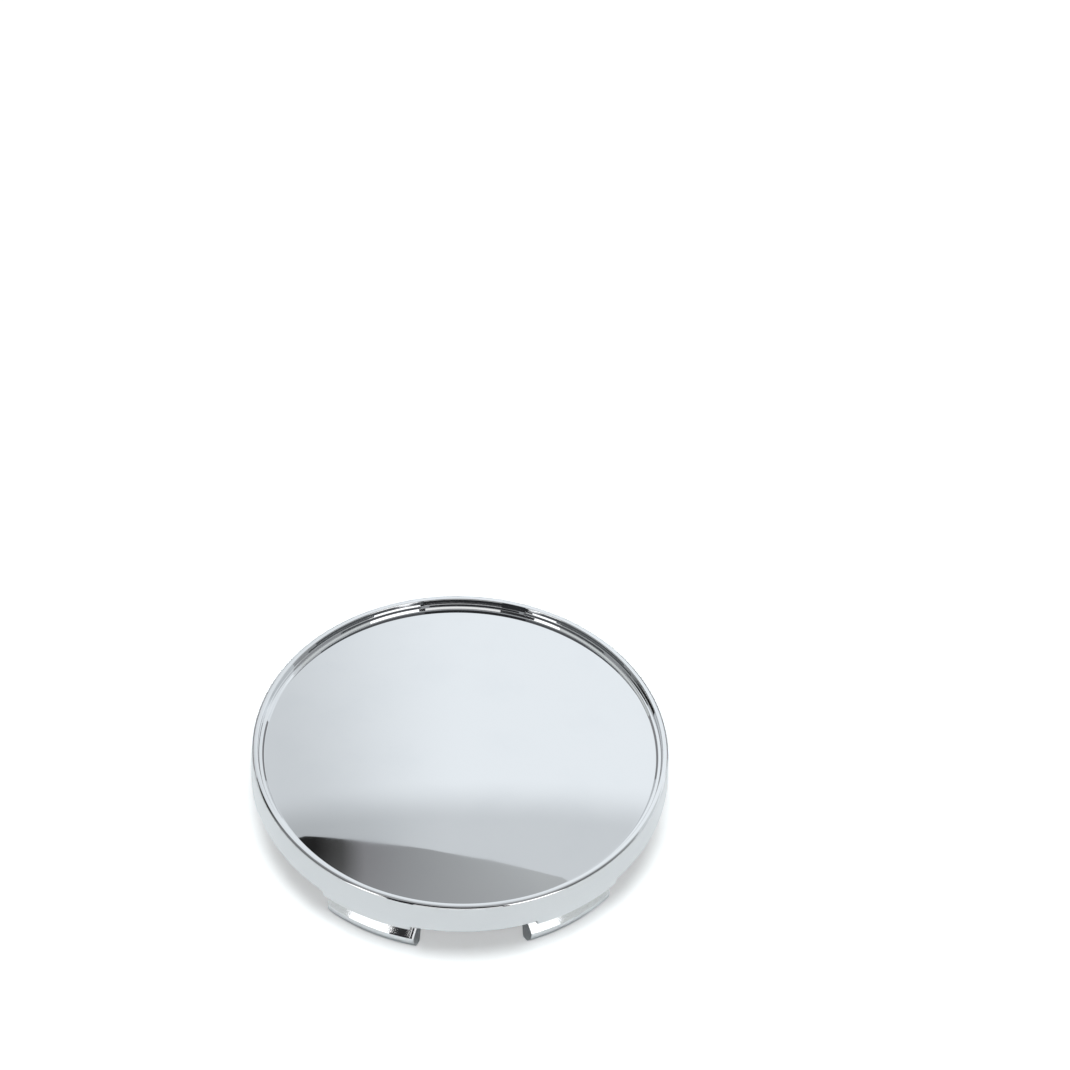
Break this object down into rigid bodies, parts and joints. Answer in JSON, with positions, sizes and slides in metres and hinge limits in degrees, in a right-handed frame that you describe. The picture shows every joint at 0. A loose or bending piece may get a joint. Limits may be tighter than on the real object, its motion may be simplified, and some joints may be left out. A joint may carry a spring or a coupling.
{
  "type": "wheel centre cap",
  "caption": "Round chromed snap-in cap that closes a car wheel's centre bore, with a stepped rim around a gently domed plain face, barbed clips on the back and a sprung wire ring inside them.",
  "frame": {"origin": "on the cap's axis, at the level of the clip tips that it stands on", "axes": "+Z along the cap's axis towards the show face, +X through the middle of the clip behind which the wire ring is open"},
  "size_m": [0.06, 0.06, 0.0117],
  "materials": {
    "plated_cap": "mirror chrome plating on a plastic moulding, with a dull grainy zone on the clips' pads, necks and barb backs",
    "spring_wire": "bright drawn spring steel wire"
  },
  "bodies": {
    "root": {"cap_body": "plated_cap", "retaining_ring": "spring_wire"}
  },
  "joints": []
}
